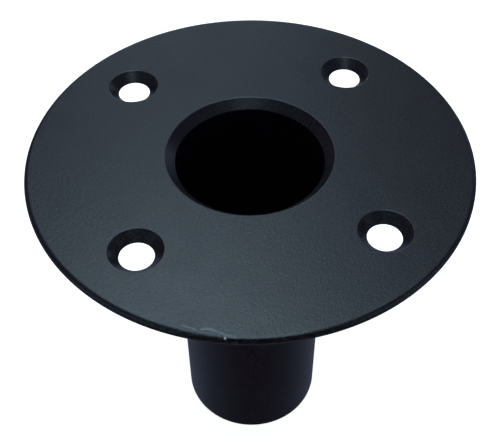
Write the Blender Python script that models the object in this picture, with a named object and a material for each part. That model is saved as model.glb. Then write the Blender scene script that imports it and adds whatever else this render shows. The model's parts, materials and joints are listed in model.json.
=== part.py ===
"""A flush pole socket: a round flange plate with a blind steel tube welded under it.

One upright pole drops through the flange's bevelled mouth and stands on a disc inside the tube.
Four countersunk holes take the screws that hold the flange on a floor, a board or a stage.

Everything is in metres, with +Z up. The origin is the centre of the tube's lower end, on the
pole's axis, and the flange's upper face is the highest level.
"""

import math

import bmesh
import bpy
from mathutils import Vector

# The whole object
TOTAL_HEIGHT = 0.100
CLEARANCE = 0.0003  # kept between two pieces that touch

# Flange plate
FLANGE_RADIUS = 0.055
PLATE_THICKNESS = 0.0025
RIM_ROUNDING = 0.00115  # nearly half the plate, so that the rim is a bull nose
MOUTH_RADIUS = 0.0208  # the wide, upper end of the 45 degree bevel
MOUTH_ROUNDING = 0.0004

# Screw holes, countersunk from above at 45 degrees a side
SCREW_COUNT = 4
SCREW_CIRCLE_RADIUS = 0.040
FIRST_SCREW_ANGLE = math.radians(45)
SCREW_HOLE_RADIUS = 0.0041
COUNTERSINK_RADIUS = 0.0064
CUTTER_OVERSHOOT = 0.001  # how far a cutter runs past each face of the plate

# Tube
TUBE_RADIUS = 0.020
TUBE_WALL = 0.0015
TUBE_END_ROUNDING = 0.0003

# Disc that closes the tube, set up inside its lower end
DISC_THICKNESS = 0.003
DISC_RECESS = 0.003
DISC_EDGE_ROUNDING = 0.0005

# Fillet welds
FLANGE_WELD_LEG = 0.0035
END_WELD_LEG = 0.0022
WELD_CROWN = 0.12  # how far the bead's face swells, as a share of its leg

# Fineness of the round surfaces
PLATE_STEPS = 96
TUBE_STEPS = 96
SCREW_STEPS = 40
WELD_STEPS = 48
FILLET_STEPS = 4
BEAD_STEPS = 4
SMOOTH_BELOW = math.radians(35)
MERGE_DISTANCE = 0.000001

# Levels and radii that follow from the sizes above
PLATE_UNDERSIDE = TOTAL_HEIGHT - PLATE_THICKNESS
BORE_RADIUS = TUBE_RADIUS - TUBE_WALL
MOUTH_DEPTH = MOUTH_RADIUS - BORE_RADIUS
DISC_TOP = DISC_RECESS + DISC_THICKNESS


def clear_scene():
    for thing in list(bpy.data.objects):
        bpy.data.objects.remove(thing, do_unlink=True)


def powder_coat(name, colour, roughness):
    """A black paint baked on steel."""
    material = bpy.data.materials.new(name)
    material.use_nodes = True
    shader = material.node_tree.nodes["Principled BSDF"]
    shader.inputs["Base Color"].default_value = (*colour, 1)
    shader.inputs["Roughness"].default_value = roughness
    shader.inputs["Metallic"].default_value = 0
    return material


def rounded(corners):
    """The outline through these (radius, height, fillet) corners, with an arc at each fillet."""
    outline = []
    for index, (radius, height, fillet) in enumerate(corners):
        corner = Vector((radius, height))
        if not fillet:
            outline.append(corner)
            continue
        back = (Vector(corners[index - 1][:2]) - corner).normalized()
        ahead = (Vector(corners[(index + 1) % len(corners)][:2]) - corner).normalized()
        half_angle = back.angle(ahead) / 2
        centre = corner + (back + ahead).normalized() * fillet / math.sin(half_angle)
        first = corner + back * fillet / math.tan(half_angle) - centre
        last = corner + ahead * fillet / math.tan(half_angle) - centre
        sweep = first.angle(last)
        for step in range(FILLET_STEPS + 1):
            turned_by = sweep * step / FILLET_STEPS
            spoke = first * math.sin(sweep - turned_by) + last * math.sin(turned_by)
            outline.append(centre + spoke / math.sin(sweep))
    return outline


def turned(name, outline, steps, closed=True):
    """The body that this (radius, height) outline sweeps round Z.

    A closed outline makes a ring. An open one starts and ends on the axis.
    """
    shape = bmesh.new()
    points = [shape.verts.new((radius, 0, height)) for radius, height in outline]
    pairs = list(zip(points, points[1:]))
    if closed:
        pairs.append((points[-1], points[0]))
    edges = [shape.edges.new(pair) for pair in pairs]
    bmesh.ops.spin(
        shape,
        geom=points + edges,
        cent=(0, 0, 0),
        axis=(0, 0, 1),
        angle=2 * math.pi,
        steps=steps,
        use_duplicate=False,
    )
    bmesh.ops.remove_doubles(shape, verts=shape.verts, dist=MERGE_DISTANCE)
    bmesh.ops.recalc_face_normals(shape, faces=shape.faces)
    mesh = bpy.data.meshes.new(name)
    shape.to_mesh(mesh)
    shape.free()
    mesh.shade_smooth()
    mesh.set_sharp_from_angle(angle=SMOOTH_BELOW)
    body = bpy.data.objects.new(name, mesh)
    bpy.context.scene.collection.objects.link(body)
    return body


def painted(body, material):
    body.data.materials.append(material)
    return body


def countersink_cutters(plate):
    """One hidden cutter for each screw hole: a cylinder that opens into a cone at the top."""
    top = TOTAL_HEIGHT + CUTTER_OVERSHOOT
    cone_foot = TOTAL_HEIGHT - (COUNTERSINK_RADIUS - SCREW_HOLE_RADIUS)
    outline = [
        (0, top),
        (COUNTERSINK_RADIUS + CUTTER_OVERSHOOT, top),
        (SCREW_HOLE_RADIUS, cone_foot),
        (SCREW_HOLE_RADIUS, PLATE_UNDERSIDE - CUTTER_OVERSHOOT),
        (0, PLATE_UNDERSIDE - CUTTER_OVERSHOOT),
    ]
    for index in range(SCREW_COUNT):
        angle = FIRST_SCREW_ANGLE + 2 * math.pi * index / SCREW_COUNT
        cutter = turned(f"screw_cutter_{index + 1}", outline, SCREW_STEPS, closed=False)
        cutter.location = (
            SCREW_CIRCLE_RADIUS * math.cos(angle),
            SCREW_CIRCLE_RADIUS * math.sin(angle),
            0,
        )
        cutter.parent = plate
        cutter.hide_render = True
        cutter.display_type = "WIRE"
        yield cutter


def flange_plate(material):
    """The disc that shows: bevelled mouth, bull-nosed rim and four countersunk holes."""
    corners = [
        (BORE_RADIUS, PLATE_UNDERSIDE, 0),
        (BORE_RADIUS, TOTAL_HEIGHT - MOUTH_DEPTH, 0),
        (MOUTH_RADIUS, TOTAL_HEIGHT, MOUTH_ROUNDING),
        (FLANGE_RADIUS, TOTAL_HEIGHT, RIM_ROUNDING),
        (FLANGE_RADIUS, PLATE_UNDERSIDE, RIM_ROUNDING),
    ]
    plate = painted(turned("flange_plate", rounded(corners), PLATE_STEPS), material)
    for cutter in countersink_cutters(plate):
        cut = plate.modifiers.new(cutter.name, "BOOLEAN")
        cut.operation = "DIFFERENCE"
        cut.solver = "EXACT"
        cut.object = cutter
    return plate


def socket_tube(material):
    """The round tube that holds the pole, butted against the plate's underside."""
    top = PLATE_UNDERSIDE - CLEARANCE
    corners = [
        (BORE_RADIUS, 0, TUBE_END_ROUNDING),
        (BORE_RADIUS, top, 0),
        (TUBE_RADIUS, top, 0),
        (TUBE_RADIUS, 0, TUBE_END_ROUNDING),
    ]
    return painted(turned("socket_tube", rounded(corners), TUBE_STEPS), material)


def end_disc(material):
    """The disc that closes the tube and carries the pole."""
    edge = BORE_RADIUS - CLEARANCE
    corners = [
        (0, DISC_TOP, 0),
        (edge, DISC_TOP, DISC_EDGE_ROUNDING),
        (edge, DISC_RECESS, 0),
        (0, DISC_RECESS, 0),
    ]
    return painted(turned("end_disc", rounded(corners), TUBE_STEPS, closed=False), material)


def weld_bead(name, root, leg, outward, material):
    """A ring of fillet weld below its root corner, reaching out (+1) or in (-1) from it."""
    root = Vector(root)
    toe_across = root + Vector((outward * leg, 0))
    toe_down = root - Vector((0, leg))
    swell = Vector((outward, -1)).normalized() * leg * WELD_CROWN
    section = [root]
    for step in range(BEAD_STEPS + 1):
        share = step / BEAD_STEPS
        section.append(toe_across.lerp(toe_down, share) + swell * math.sin(math.pi * share))
    return painted(turned(name, section, WELD_STEPS), material)


def main():
    clear_scene()
    flange_plate(powder_coat("flange_coat", (0.030, 0.033, 0.037), 0.42))
    socket_tube(powder_coat("tube_coat", (0.022, 0.022, 0.026), 0.38))
    end_disc(powder_coat("disc_coat", (0.022, 0.022, 0.025), 0.50))
    weld_coat = powder_coat("weld_coat", (0.024, 0.024, 0.027), 0.45)
    weld_bead(
        "flange_weld",
        (TUBE_RADIUS + CLEARANCE, PLATE_UNDERSIDE - CLEARANCE),
        FLANGE_WELD_LEG,
        1,
        weld_coat,
    )
    weld_bead(
        "end_weld",
        (BORE_RADIUS - CLEARANCE, DISC_RECESS - CLEARANCE),
        END_WELD_LEG,
        -1,
        weld_coat,
    )


main()
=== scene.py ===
"""The looks of the flush pole socket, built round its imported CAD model.

The whole object is steel under a satin black powder coat. Each CAD node is replaced by a finer mesh
of the same shape and size: the flange plate with its rolled rim and softened screw seats, the tube,
the disc that closes it, and two rippled weld beads. Lengths are metres in the CAD model's frame.
"""

import json
import math

import bmesh
import bpy
import numpy as np
from mathutils import Matrix, Vector


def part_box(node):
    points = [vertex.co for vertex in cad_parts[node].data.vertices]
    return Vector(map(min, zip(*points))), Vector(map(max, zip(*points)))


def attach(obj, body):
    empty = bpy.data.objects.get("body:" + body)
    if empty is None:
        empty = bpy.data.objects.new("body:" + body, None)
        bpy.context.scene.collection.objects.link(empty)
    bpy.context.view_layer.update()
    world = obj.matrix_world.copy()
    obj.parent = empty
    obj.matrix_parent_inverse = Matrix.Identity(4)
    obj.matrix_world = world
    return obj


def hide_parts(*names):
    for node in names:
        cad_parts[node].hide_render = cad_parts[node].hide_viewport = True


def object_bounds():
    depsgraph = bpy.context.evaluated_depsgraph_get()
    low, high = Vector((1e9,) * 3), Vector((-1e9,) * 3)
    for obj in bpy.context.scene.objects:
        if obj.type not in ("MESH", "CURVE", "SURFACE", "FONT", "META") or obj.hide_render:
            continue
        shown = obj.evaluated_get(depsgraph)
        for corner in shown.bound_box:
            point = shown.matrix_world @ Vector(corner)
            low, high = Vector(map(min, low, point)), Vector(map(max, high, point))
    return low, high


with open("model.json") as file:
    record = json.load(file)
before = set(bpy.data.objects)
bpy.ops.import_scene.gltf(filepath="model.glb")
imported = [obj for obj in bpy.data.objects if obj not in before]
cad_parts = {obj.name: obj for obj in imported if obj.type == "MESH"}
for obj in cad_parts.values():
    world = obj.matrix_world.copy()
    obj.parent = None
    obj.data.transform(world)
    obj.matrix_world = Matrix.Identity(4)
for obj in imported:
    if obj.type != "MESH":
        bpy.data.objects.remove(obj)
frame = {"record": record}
cad_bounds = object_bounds()

MM = 0.001
CLOSE_GUARD = 0.05 * MM

# Sizes and levels read from the CAD model
PLATE_LOW, PLATE_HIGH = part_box("flange_plate")
TUBE_LOW, TUBE_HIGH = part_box("socket_tube")
DISC_LOW, DISC_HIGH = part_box("end_disc")
TOP, UNDERSIDE, FLANGE_RADIUS = PLATE_HIGH.z, PLATE_LOW.z, PLATE_HIGH.x
TUBE_RADIUS = TUBE_HIGH.x
CLEARANCE = UNDERSIDE - TUBE_HIGH.z
BORE_RADIUS = DISC_HIGH.x + CLEARANCE
SCREW_CENTRES = [
    (Vector(opening["box_m"][0]) + Vector(opening["box_m"][1])).to_2d() / 2
    for opening in frame["record"]["physics"]["openings"]
    if opening["name"].startswith("screw_hole")
]

# Sizes that the CAD model's boxes don't hold
MOUTH_RADIUS = 20.8 * MM
SCREW_HOLE_RADIUS = 4.1 * MM
SEAT_RADIUS = 6.4 * MM
RIM_ROUNDING = 1.15 * MM
EDGE_ROUNDING = 0.4 * MM

# Camera, placed round the centre of the mouth. The angles are degrees
CAMERA_AZIMUTH = -5.1
CAMERA_ELEVATION = 44.16
CAMERA_DISTANCE = 218.8 * MM
CAMERA_PITCH = 48.72
CAMERA_YAW = -0.046
CAMERA_ROLL = -0.48
LENS_MM = 63.94

# Studio: each lamp's name, azimuth and elevation in degrees, width in metres, watts and colour
LAMP_COLOUR = (0.58, 0.81, 0.94)
LAMPS = (
    ("key", -11, 62, 0.30, 1.5, LAMP_COLOUR),
    ("high_left", -20, 74, 0.30, 0.35, LAMP_COLOUR),
    ("high_right", 20, 74, 0.30, 1.15, LAMP_COLOUR),
    ("wing_left", -60, 62, 0.30, 0.2, LAMP_COLOUR),
    ("wing_right", 60, 62, 0.30, 0.4, LAMP_COLOUR),
    ("overhead", 180, 80, 0.30, 2.3, LAMP_COLOUR),
    ("front", 180, 65, 0.30, 0.9, LAMP_COLOUR),
    ("rear", 0, 50, 0.30, 0.35, (0.63, 0.86, 1.0)),
    ("low_rear", 0, 10, 0.50, 1.8, LAMP_COLOUR),
    ("low_rear_right", 45, 10, 0.30, 0.25, LAMP_COLOUR),
    ("low_left", -120, 6, 0.80, 0.8, LAMP_COLOUR),
    ("low_right", 120, 6, 0.80, 0.8, LAMP_COLOUR),
)
LAMP_DISTANCE = 1.0
FLOOR_GLOW = 0.92
FLOOR_HALF_WIDTH = 3.0
FLOOR_DROP = 0.2 * MM  # keeps the floor clear of the tube's end
ROOM_COLOUR = (0.76, 0.62, 1.0)
ROOM_FRONT, ROOM_REAR = 0.02, 0.16  # strength straight in front and straight behind
TABLE_COLOUR, TABLE_GLOW = (0.32, 0.74, 1.0), 0.12


# ---------------------------------------------------------------- outlines and meshes


def rounded(corners, steps=7, guard=0.12 * MM):
    """The outline through (radius, height, fillet) corners, with an arc at each fillet.

    A guard point just outside each end of an arc keeps the flat beside it evenly shaded.
    """
    outline = []
    for index, (radius, height, fillet) in enumerate(corners):
        corner = Vector((radius, height))
        if not fillet:
            outline.append(corner)
            continue
        back = (Vector(corners[index - 1][:2]) - corner).normalized()
        ahead = (Vector(corners[(index + 1) % len(corners)][:2]) - corner).normalized()
        half_angle = back.angle(ahead) / 2
        reach = fillet / math.tan(half_angle)
        centre = corner + (back + ahead).normalized() * fillet / math.sin(half_angle)
        first, last = corner + back * reach - centre, corner + ahead * reach - centre
        sweep = first.angle(last)
        outline.append(corner + back * (reach + guard))
        for step in range(steps + 1):
            turned = sweep * step / steps
            spoke = first * math.sin(sweep - turned) + last * math.sin(turned)
            outline.append(centre + spoke / math.sin(sweep))
        outline.append(corner + ahead * (reach + guard))
    return outline


def even_angles(steps):
    return np.linspace(0, 2 * math.pi, steps, endpoint=False)


def revolve(shape, outline, angles, centre=(0, 0), closed=False):
    """Sweeps the outline round a vertical line. Returns its rings of vertices, one per point."""
    rings = [
        [
            shape.verts.new(
                (centre[0] + radius * math.cos(a), centre[1] + radius * math.sin(a), height)
            )
            for a in angles
        ]
        for radius, height in outline
    ]
    pairs = list(zip(rings, rings[1:]))
    if closed:
        pairs.append((rings[-1], rings[0]))
    for one, other in pairs:
        for i in range(len(angles)):
            j = (i + 1) % len(angles)
            shape.faces.new((one[i], one[j], other[j], other[i]))
    return rings


def fill_between(shape, rings):
    """Closes the flat between rings of vertices that lie on one level."""
    edges = [
        shape.edges.get((ring[i], ring[(i + 1) % len(ring)])) for ring in rings for i in range(len(ring))
    ]
    bmesh.ops.triangle_fill(shape, use_beauty=True, use_dissolve=False, edges=edges)


def cap(shape, ring, height):
    """Closes a ring with a fan round the axis."""
    middle = shape.verts.new((0, 0, height))
    for i in range(len(ring)):
        shape.faces.new((ring[i], ring[(i + 1) % len(ring)], middle))


def finished(name, shape):
    """The object made from a closed bmesh, smooth, with its faces pointing out."""
    bmesh.ops.recalc_face_normals(shape, faces=shape.faces)
    mesh = bpy.data.meshes.new(name)
    shape.to_mesh(mesh)
    shape.free()
    mesh.shade_smooth()
    piece = bpy.data.objects.new(name, mesh)
    bpy.context.scene.collection.objects.link(piece)
    return piece


def points_of(piece):
    flat = np.empty(len(piece.data.vertices) * 3)
    piece.data.vertices.foreach_get("co", flat)
    return flat.reshape(-1, 3)


def set_points(piece, points):
    piece.data.vertices.foreach_set("co", points.astype(np.float32).ravel())
    piece.data.update()


def add_attribute(piece, name, values):
    layer = piece.data.attributes.new(name, "FLOAT", "POINT")
    layer.data.foreach_set("value", np.clip(values, 0, 1).astype(np.float32))


# ---------------------------------------------------------------- flange plate

# Plate mesh: the flats that its turned parts bring along, and how finely they are cut
RIM_BAND, RIM_BAND_RINGS = 7 * MM, 36
RIM_BAND_BELOW = 3 * MM
MOUTH_BAND, MOUTH_BAND_BELOW = 1.5 * MM, 0.5 * MM
SEAT_BAND, SEAT_BAND_BELOW = 1.2 * MM, 0.6 * MM
BORE_EDGE_ROUNDING = 0.25 * MM
SEAT_EDGE_ROUNDING = 0.32 * MM
SEAT_FOOT_ROUNDING, HOLE_END_ROUNDING = 0.08 * MM, 0.06 * MM
MOUTH_STEPS, SEAT_STEPS = 288, 96

# Rubbed marks near the front rim: points in plan, half width (all in mm) and strength
SCUFFS = (
    (((-18.8, -49.7), (-17.6, -50.3), (-16.1, -51.0)), 0.18, 0.72),
    (((-14.9, -51.1), (-13.8, -51.0), (-12.9, -51.3), (-12.2, -51.7)), 0.22, 1.0),
    (((-12.2, -51.7), (-11.0, -52.4), (-9.6, -53.2), (-7.8, -53.7)), 0.17, 0.62),
)
SCUFF_DEPTH, SCUFF_GRAIN = 0.035 * MM, 0.22 * MM
CHIP_AT, CHIP_RADIUS = (-10.20, -53.58, 99.78), 0.23  # mm
CHIP_DEPTH = 0.05 * MM
SCUFF_COLOUR, SCUFF_ROUGHNESS = (0.30, 0.32, 0.34), 0.6
STEEL_COLOUR, STEEL_ROUGHNESS, STEEL_METALNESS = (0.80, 0.80, 0.82), 0.5, 0.8
SCUFF_FROM, SCUFF_TO = math.radians(-113), math.radians(-95)  # the stretch of rim they lie on
RIM_STEP, SCUFF_STEP = math.radians(1), math.radians(0.14)


def distance_to_line(points, line):
    """How far each plan point lies from a chain of straight stretches given in mm."""
    nearest = np.full(len(points), np.inf)
    for start, end in zip(line, line[1:]):
        start, end = np.array(start) * MM, np.array(end) * MM
        along = np.clip((points - start) @ (end - start) / ((end - start) @ (end - start)), 0, 1)
        gap = np.linalg.norm(points - (start + along[:, None] * (end - start)), axis=1)
        nearest = np.minimum(nearest, gap)
    return nearest


def grain(points, size, seed=0.0):
    """A cheap repeatable roughness from -1 to 1, with features of about this size."""
    x, y = points[:, 0] / size, points[:, 1] / size
    waves = (
        np.sin(2.1 * x + 1.3 * y + seed)
        + np.sin(-1.7 * x + 2.6 * y + 2 * seed)
        + np.sin(3.3 * x - 2.9 * y + 3 * seed)
    )
    return waves / 3


def wear_front_rim(plate):
    """Presses the rubbed marks and the chip into the plate, and records where paint is marked."""
    points = points_of(plate)
    upper = points[:, 2] > (TOP + UNDERSIDE) / 2
    scuffed = np.zeros(len(points))
    for line, half_width, strength in SCUFFS:
        near = np.exp(-((distance_to_line(points[:, :2], line) / (half_width * MM)) ** 2))
        broken = 0.7 + 0.6 * grain(points, SCUFF_GRAIN, half_width)
        scuffed = np.maximum(scuffed, near * strength * broken * upper)
    chip = np.array(CHIP_AT) * MM
    from_chip = np.linalg.norm(points - chip, axis=1) / (CHIP_RADIUS * MM)
    bare = np.exp(-(from_chip**4))
    points[:, 2] -= SCUFF_DEPTH * scuffed + CHIP_DEPTH * bare
    set_points(plate, points)
    add_attribute(plate, "scuffed", scuffed)
    add_attribute(plate, "bare", bare)


def rim_angles():
    """Evenly round the rim, and much closer where it is marked."""
    coarse = np.arange(SCUFF_TO, SCUFF_FROM + 2 * math.pi, RIM_STEP)
    fine = np.arange(SCUFF_FROM, SCUFF_TO, SCUFF_STEP)
    return np.concatenate([fine, coarse])


def turn_rim(shape):
    """The bull-nosed rim, with a finely cut band of the upper face for the marks to lie in."""
    corners = [
        (FLANGE_RADIUS - RIM_BAND, TOP, 0),
        (FLANGE_RADIUS, TOP, RIM_ROUNDING),
        (FLANGE_RADIUS, UNDERSIDE, RIM_ROUNDING),
        (FLANGE_RADIUS - RIM_BAND_BELOW, UNDERSIDE, 0),
    ]
    outline = rounded(corners, steps=10)
    inner, guard_point = outline[0], outline[1]
    band = [inner.lerp(guard_point, share) for share in np.linspace(0, 1, RIM_BAND_RINGS)]
    return revolve(shape, band[:-1] + outline[1:], rim_angles())


def turn_mouth(shape):
    """The 45 degree bevel, which leads down into the bore."""
    corners = [
        (MOUTH_RADIUS + MOUTH_BAND, TOP, 0),
        (MOUTH_RADIUS, TOP, EDGE_ROUNDING),
        (BORE_RADIUS, TOP - (MOUTH_RADIUS - BORE_RADIUS), BORE_EDGE_ROUNDING),
        (BORE_RADIUS, UNDERSIDE, 0),
        (BORE_RADIUS + MOUTH_BAND_BELOW, UNDERSIDE, 0),
    ]
    return revolve(shape, rounded(corners, guard=CLOSE_GUARD), even_angles(MOUTH_STEPS))


def turn_seats(shape):
    """The four countersunk screw holes."""
    corners = [
        (SEAT_RADIUS + SEAT_BAND, TOP, 0),
        (SEAT_RADIUS, TOP, SEAT_EDGE_ROUNDING),
        (SCREW_HOLE_RADIUS, TOP - (SEAT_RADIUS - SCREW_HOLE_RADIUS), SEAT_FOOT_ROUNDING),
        (SCREW_HOLE_RADIUS, UNDERSIDE, HOLE_END_ROUNDING),
        (SCREW_HOLE_RADIUS + SEAT_BAND_BELOW, UNDERSIDE, 0),
    ]
    outline = rounded(corners, steps=5, guard=0.02 * MM)
    return [revolve(shape, outline, even_angles(SEAT_STEPS), centre) for centre in SCREW_CENTRES]


def flange_plate():
    shape = bmesh.new()
    turned_parts = [turn_rim(shape), turn_mouth(shape), *turn_seats(shape)]
    for end in (0, -1):
        fill_between(shape, [rings[end] for rings in turned_parts])
    plate = finished("flange", shape)
    wear_front_rim(plate)
    return plate


# ---------------------------------------------------------------- tube and disc

FOOT_ROUNDING, HIDDEN_ROUNDING = 0.3 * MM, 0.05 * MM
DISC_PLAY = 0.08 * MM  # between the disc's edge and the tube
DISC_FLAT = 2 * MM  # of each face, turned with its edge
DISC_TOP_ROUNDING, DISC_UNDER_ROUNDING = 0.5 * MM, 0.2 * MM
TUBE_STEPS, DISC_STEPS = 288, 192


def socket_tube():
    shape = bmesh.new()
    corners = [
        (BORE_RADIUS, 0, FOOT_ROUNDING),
        (BORE_RADIUS, UNDERSIDE, HIDDEN_ROUNDING),
        (TUBE_RADIUS, UNDERSIDE, HIDDEN_ROUNDING),
        (TUBE_RADIUS, 0, FOOT_ROUNDING),
    ]
    revolve(shape, rounded(corners, guard=CLOSE_GUARD), even_angles(TUBE_STEPS), closed=True)
    return finished("tube", shape)


def end_disc():
    shape = bmesh.new()
    edge = BORE_RADIUS - DISC_PLAY
    corners = [
        (edge - DISC_FLAT, DISC_HIGH.z, 0),
        (edge, DISC_HIGH.z, DISC_TOP_ROUNDING),
        (edge, DISC_LOW.z, DISC_UNDER_ROUNDING),
        (edge - DISC_FLAT, DISC_LOW.z, 0),
    ]
    rings = revolve(shape, rounded(corners, guard=CLOSE_GUARD), even_angles(DISC_STEPS))
    cap(shape, rings[0], DISC_HIGH.z)
    cap(shape, rings[-1], DISC_LOW.z)
    return finished("bottom_disc", shape)


# ---------------------------------------------------------------- welds

RIPPLE_PITCH = 1.5 * MM
BEAD_SECTION_STEPS = 12
BEAD_STEPS_PER_RIPPLE = 10
WELD_DIG = 0.25 * MM  # how far a bead sinks into the pieces that it joins
FLANGE_WELD_LEG, FLANGE_WELD_START = 3.6 * MM, math.radians(35)
END_WELD_LEG, END_WELD_START = 2.3 * MM, math.radians(120)

# Shares of the leg by which the bead's face swells: everywhere, at a ripple's crest, at the overlap
SWELL, CREST_SWELL, OVERLAP_SWELL = 0.16, 0.12, 0.12
OVERLAP_HALF_ANGLE = 0.12  # radians
CRESCENT_LAG = 0.9  # in ripples, how far a ripple's ends trail behind its middle


def bead_leg(turn):
    """The uneven hand of the welder, as a factor on the leg."""
    return 1 + 0.05 * math.sin(5 * turn + 1) + 0.04 * math.sin(11 * turn)


def bead_swell(turn, across, ripples):
    """How far the face stands out, as a share of the leg. Across runs from -1 to 1 over the face."""
    if abs(across) == 1:
        return 0
    phase = ripples * turn / (2 * math.pi) + CRESCENT_LAG * across**2 + 0.1 * math.sin(3 * turn)
    crest = (1 - (phase % 1)) ** 1.6
    overlap = math.exp(-((turn - math.pi) / OVERLAP_HALF_ANGLE) ** 2)
    arch = math.cos(across * math.pi / 2) ** 0.7
    return (SWELL + CREST_SWELL * crest + OVERLAP_SWELL * overlap) * arch


def weld_bead(name, root, leg, outward, start_angle):
    """A fillet weld of overlapping crescents round the Z axis, below its (radius, height) root.

    It reaches out (+1) or in (-1) from the root. The welder's stop overlaps the start.
    """
    ripples = round(2 * math.pi * root[0] / RIPPLE_PITCH)
    steps = ripples * BEAD_STEPS_PER_RIPPLE
    turns = [2 * math.pi * i / steps for i in range(steps)]
    shape = bmesh.new()

    def point(radius, height, turn):
        angle = start_angle + turn
        return shape.verts.new((radius * math.cos(angle), radius * math.sin(angle), height))

    rings = []
    for k in range(BEAD_SECTION_STEPS + 1):
        share = k / BEAD_SECTION_STEPS
        ring = []
        for turn in turns:
            size = leg * bead_leg(turn)
            swell = bead_swell(turn, 2 * share - 1, ripples) * size * math.sqrt(0.5)
            radius = root[0] + outward * (size * (1 - share) - WELD_DIG * share + swell)
            height = root[1] - size * share + WELD_DIG * (1 - share) - swell
            ring.append(point(radius, height, turn))
        rings.append(ring)
    rings.append([point(root[0] - outward * WELD_DIG, root[1] + WELD_DIG, turn) for turn in turns])
    for one, other in zip(rings, rings[1:] + rings[:1]):
        for i in range(steps):
            j = (i + 1) % steps
            shape.faces.new((one[i], one[j], other[j], other[i]))
    return finished(name, shape)


# ---------------------------------------------------------------- materials


def map_range(tree, value, low, high, to_low, to_high):
    """Maps a socket's value from low..high to to_low..to_high."""
    node = tree.nodes.new("ShaderNodeMapRange")
    for socket, number in zip(("From Min", "From Max", "To Min", "To Max"), (low, high, to_low, to_high)):
        node.inputs[socket].default_value = number
    tree.links.new(value, node.inputs["Value"])
    return node.outputs["Result"]


class Graph:
    """Short names for building one material's nodes."""

    def __init__(self, name):
        self.material = bpy.data.materials.new(name)
        self.material.use_nodes = True
        self.tree = self.material.node_tree
        self.shader = self.tree.nodes["Principled BSDF"]
        self.place = self.tree.nodes.new("ShaderNodeTexCoord").outputs["Object"]

    def link(self, source, target):
        self.tree.links.new(source, target)

    def noise(self, size, detail=2.0, roughness=0.5):
        """Soft noise from 0 to 1, with features of about this size in metres."""
        node = self.tree.nodes.new("ShaderNodeTexNoise")
        node.inputs["Scale"].default_value = 1 / size
        node.inputs["Detail"].default_value = detail
        node.inputs["Roughness"].default_value = roughness
        self.link(self.place, node.inputs["Vector"])
        return node.outputs["Fac"]

    def attribute(self, name):
        node = self.tree.nodes.new("ShaderNodeAttribute")
        node.attribute_name = name
        return node.outputs["Fac"]

    def remap(self, value, low, high, to_low, to_high):
        return map_range(self.tree, value, low, high, to_low, to_high)

    def mix(self, share, one, other):
        """Mixes two colours, each a triple or a socket."""
        node = self.tree.nodes.new("ShaderNodeMix")
        node.data_type = "RGBA"
        self.link(share, node.inputs[0])
        for colour, socket in ((one, node.inputs[6]), (other, node.inputs[7])):
            if isinstance(colour, tuple):
                socket.default_value = (*colour, 1)
            else:
                self.link(colour, socket)
        return node.outputs[2]

    def mix_value(self, share, one, other):
        node = self.tree.nodes.new("ShaderNodeMix")
        node.data_type = "FLOAT"
        self.link(share, node.inputs[0])
        for value, socket in ((one, node.inputs[2]), (other, node.inputs[3])):
            if isinstance(value, (int, float)):
                socket.default_value = value
            else:
                self.link(value, socket)
        return node.outputs[0]

    def bump(self, height, depth, under=None):
        """Relief of this depth in metres, over an earlier bump."""
        node = self.tree.nodes.new("ShaderNodeBump")
        node.inputs["Strength"].default_value = 1
        node.inputs["Distance"].default_value = depth
        self.link(height, node.inputs["Height"])
        if under is not None:
            self.link(under, node.inputs["Normal"])
        return node.outputs["Normal"]

    def set(self, socket, value):
        target = self.shader.inputs[socket]
        if isinstance(value, bpy.types.NodeSocket):
            self.link(value, target)
        else:
            target.default_value = value


# Powder coat: sizes of its features, and depths of its relief
CLOUD_SIZE, GLOSS_CLOUD_SIZE = 14 * MM, 9 * MM
SPECK_SIZE, SPECK_BRIGHTNESS = 0.42 * MM, 10  # times the light colour
PEEL_SIZE, PEEL_DEPTH = 0.9 * MM, 0.024 * MM
GRIT_SIZE, GRIT_DEPTH = 0.40 * MM, 0.030 * MM
GLOSS_SPREAD = 0.03


def powder_coat(name, dark, light, gloss=0.35, worn=False):
    """Satin black powder coat: faintly cloudy, with fine specks, orange peel and grit."""
    graph = Graph(name)
    cloud = graph.remap(graph.noise(CLOUD_SIZE, 3), 0.35, 0.65, 0, 1)
    speck = graph.remap(graph.noise(SPECK_SIZE, 2), 0.47, 0.66, 0, 1)
    speck_colour = tuple(SPECK_BRIGHTNESS * c for c in light)
    colour = graph.mix(speck, graph.mix(cloud, dark, light), speck_colour)
    unevenness = graph.noise(GLOSS_CLOUD_SIZE, 6, 0.75)
    rough = graph.remap(unevenness, 0.3, 0.7, gloss - GLOSS_SPREAD, gloss + GLOSS_SPREAD)
    metal = 0.0
    if worn:
        scuffed, bare = graph.attribute("scuffed"), graph.attribute("bare")
        colour = graph.mix(scuffed, colour, SCUFF_COLOUR)
        colour = graph.mix(bare, colour, STEEL_COLOUR)
        rough = graph.mix_value(scuffed, rough, SCUFF_ROUGHNESS)
        rough = graph.mix_value(bare, rough, STEEL_ROUGHNESS)
        metal = graph.remap(bare, 0.3, 0.7, 0, STEEL_METALNESS)
    peel = graph.bump(graph.noise(PEEL_SIZE, 1), PEEL_DEPTH)
    grit = graph.bump(graph.noise(GRIT_SIZE, 3), GRIT_DEPTH, peel)
    graph.set("Base Color", colour)
    graph.set("Roughness", rough)
    graph.set("Metallic", metal)
    graph.set("Normal", grit)
    return graph.material


def dress(piece, node, material):
    """Gives a piece its material and puts it in the CAD node's place."""
    piece.data.materials.append(material)
    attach(piece, "root")
    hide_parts(node)


# ---------------------------------------------------------------- studio


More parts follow.
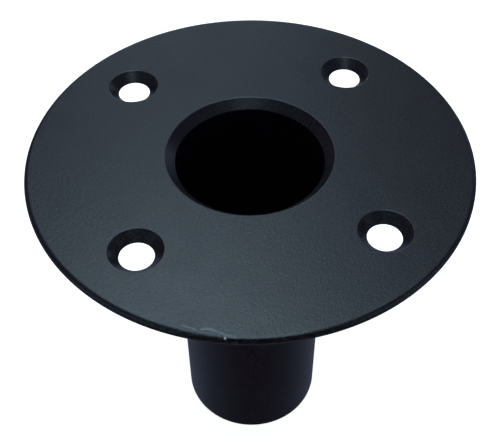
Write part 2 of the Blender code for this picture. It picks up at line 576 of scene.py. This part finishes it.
def camera():
    """The camera looks down at the mouth from the front."""
    azimuth, elevation = math.radians(CAMERA_AZIMUTH), math.radians(CAMERA_ELEVATION)
    out = Vector(
        (
            math.sin(azimuth) * math.cos(elevation),
            -math.cos(azimuth) * math.cos(elevation),
            math.sin(elevation),
        )
    )
    lens = bpy.data.cameras.new("camera")
    lens.lens = LENS_MM
    lens.clip_start, lens.clip_end = 0.01, 20
    eye = bpy.data.objects.new("camera", lens)
    turned = (
        Matrix.Rotation(azimuth - math.radians(CAMERA_YAW), 4, "Z")
        @ Matrix.Rotation(math.radians(90 - CAMERA_PITCH), 4, "X")
        @ Matrix.Rotation(math.radians(CAMERA_ROLL), 4, "Z")
    )
    eye.matrix_world = Matrix.Translation(Vector((0, 0, TOP)) + out * CAMERA_DISTANCE) @ turned
    bpy.context.scene.collection.objects.link(eye)
    bpy.context.scene.camera = eye


def softbox(name, azimuth, elevation, width, power, colour):
    """A square lamp aimed at the plate. Azimuth 0 is straight behind the object, 90 towards +X."""
    light = bpy.data.lights.new(name, "AREA")
    light.size = width
    light.energy = power
    light.color = colour
    azimuth, elevation = math.radians(azimuth), math.radians(elevation)
    level = math.cos(elevation)
    out = Vector((math.sin(azimuth) * level, math.cos(azimuth) * level, math.sin(elevation)))
    lamp = bpy.data.objects.new(name, light)
    lamp.location = Vector((0, 0, TOP)) + out * LAMP_DISTANCE
    lamp.rotation_euler = out.to_track_quat("Z", "Y").to_euler()
    lamp.visible_camera = False
    bpy.context.scene.collection.objects.link(lamp)


def floor():
    """A pale table that glows, and that the paint doesn't mirror."""
    shape = bmesh.new()
    bmesh.ops.create_grid(shape, x_segments=8, y_segments=8, size=FLOOR_HALF_WIDTH)
    ground = finished("floor", shape)
    material = bpy.data.materials.new("floor")
    material.use_nodes = True
    shader = material.node_tree.nodes["Principled BSDF"]
    shader.inputs["Base Color"].default_value = (0.88, 0.88, 0.88, 1)
    shader.inputs["Roughness"].default_value = 0.9
    shader.inputs["Specular IOR Level"].default_value = 0
    shader.inputs["Emission Color"].default_value = (1, 1, 1, 1)
    shader.inputs["Emission Strength"].default_value = FLOOR_GLOW
    ground.data.materials.append(material)
    ground.location.z = cad_bounds[0].z - FLOOR_DROP
    ground.visible_glossy = False


def room():
    """Dim surroundings that brighten towards the rear, and more so below the table's level.

    The camera sees them as pale as the floor.
    """
    world = bpy.data.worlds.new("room")
    world.use_nodes = True
    nodes, links = world.node_tree.nodes, world.node_tree.links
    parts = nodes.new("ShaderNodeSeparateXYZ")
    links.new(nodes.new("ShaderNodeTexCoord").outputs["Generated"], parts.inputs["Vector"])

    def ramp(axis, start, end, low, high):
        return map_range(world.node_tree, parts.outputs[axis], start, end, low, high)

    def background(colour, strength):
        node = nodes.new("ShaderNodeBackground")
        node.inputs["Color"].default_value = (*colour, 1)
        if isinstance(strength, (int, float)):
            node.inputs["Strength"].default_value = strength
        else:
            links.new(strength, node.inputs["Strength"])
        return node.outputs["Background"]

    # The table's glow grows below the level of the eye, and from the front towards the rear
    table = nodes.new("ShaderNodeMath")
    table.operation = "MULTIPLY"
    links.new(ramp("Z", 0, -0.5, 0, 1), table.inputs[0])
    links.new(ramp("Y", -0.5, 0.25, 0, TABLE_GLOW), table.inputs[1])
    both = nodes.new("ShaderNodeAddShader")
    links.new(background(ROOM_COLOUR, ramp("Y", -1, 1, ROOM_FRONT, ROOM_REAR)), both.inputs[0])
    links.new(background(TABLE_COLOUR, table.outputs["Value"]), both.inputs[1])
    choice = nodes.new("ShaderNodeMixShader")
    links.new(nodes.new("ShaderNodeLightPath").outputs["Is Camera Ray"], choice.inputs["Fac"])
    links.new(both.outputs["Shader"], choice.inputs[1])
    links.new(background((1, 1, 1), 1), choice.inputs[2])
    links.new(choice.outputs["Shader"], nodes["World Output"].inputs["Surface"])
    bpy.context.scene.world = world


def studio():
    room()
    for name, *lamp in LAMPS:
        softbox(name, *lamp)
    bpy.context.scene.view_settings.view_transform = "Standard"


# ---------------------------------------------------------------- the scene

camera()
floor()
studio()

flange_coat = powder_coat("flange_coat", (0.0010, 0.0007, 0.0013), (0.0020, 0.0017, 0.0024), worn=True)
# The tube wears the same powder coat as the flange, but its base colours are darker and more purple:
# painted shade for the tube under the plate.
tube_coat = powder_coat("tube_coat", (0.0010, 0.0005, 0.0013), (0.0016, 0.0008, 0.0018))
disc_coat = powder_coat("disc_coat", (0.0012, 0.0006, 0.0016), (0.0022, 0.0014, 0.0026), gloss=0.44)
weld_coat = powder_coat("weld_coat", (0.0026, 0.0020, 0.0032), (0.0036, 0.0028, 0.0044), gloss=0.40)

dress(flange_plate(), "flange_plate", flange_coat)
dress(socket_tube(), "socket_tube", tube_coat)
dress(end_disc(), "end_disc", disc_coat)
dress(
    weld_bead("under_weld", (TUBE_RADIUS, UNDERSIDE), FLANGE_WELD_LEG, 1, FLANGE_WELD_START),
    "flange_weld",
    weld_coat,
)
dress(
    weld_bead("foot_weld", (BORE_RADIUS, DISC_LOW.z), END_WELD_LEG, -1, END_WELD_START),
    "end_weld",
    weld_coat,
)
